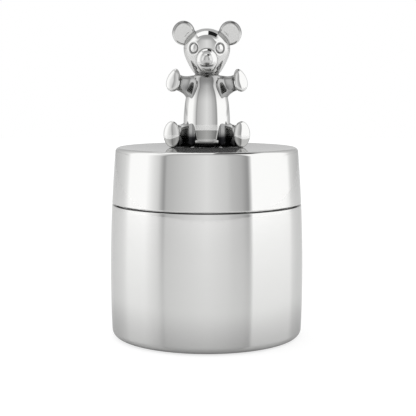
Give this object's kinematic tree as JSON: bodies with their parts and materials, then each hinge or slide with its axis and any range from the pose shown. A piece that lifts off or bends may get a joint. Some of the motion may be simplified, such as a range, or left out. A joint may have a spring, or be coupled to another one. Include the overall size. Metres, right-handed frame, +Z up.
{
  "type": "keepsake box",
  "caption": "Round polished metal keepsake box with a barrel side, a lift-off slip lid, a velvet lining and a seated bear figure fixed on the lid.",
  "frame": {"origin": "the middle of the felt face that the box stands on", "axes": "+Z up along the box's axis, the bear looks along -Y, +X to the bear's left"},
  "size_m": [0.061, 0.061, 0.0994],
  "materials": {
    "silver_plate": "polished",
    "velvet": "matte",
    "card": "matte",
    "felt": "matte",
    "silicone": "satin",
    "screw_steel": "satin"
  },
  "bodies": {
    "box": {"body_shell": "silver_plate", "neck_ring": "silver_plate", "wall_lining": "velvet", "floor_card": "card", "floor_lining": "velvet", "base_felt": "felt"},
    "grip": {"grip_ring": "silicone"},
    "lid": {"lid_shell": "silver_plate", "lid_lining": "velvet", "figure_screw": "screw_steel", "screw_washer": "screw_steel", "bear_torso": "silver_plate", "bear_head": "silver_plate", "bear_ear_left": "silver_plate", "bear_ear_right": "silver_plate", "bear_arm_left": "silver_plate", "bear_arm_right": "silver_plate", "bear_leg_left": "silver_plate", "bear_leg_right": "silver_plate"}
  },
  "joints": [
    {"name": "lid_turn", "type": "hinge", "parent": "box", "child": "grip", "pos_m": [0, 0, 0.0453], "axis": [0, 0, 1], "continuous": true},
    {"name": "lid_lift", "type": "slide", "parent": "grip", "child": "lid", "axis": [0, 0, 1], "range_m": [0, 0.06]}
  ]
}
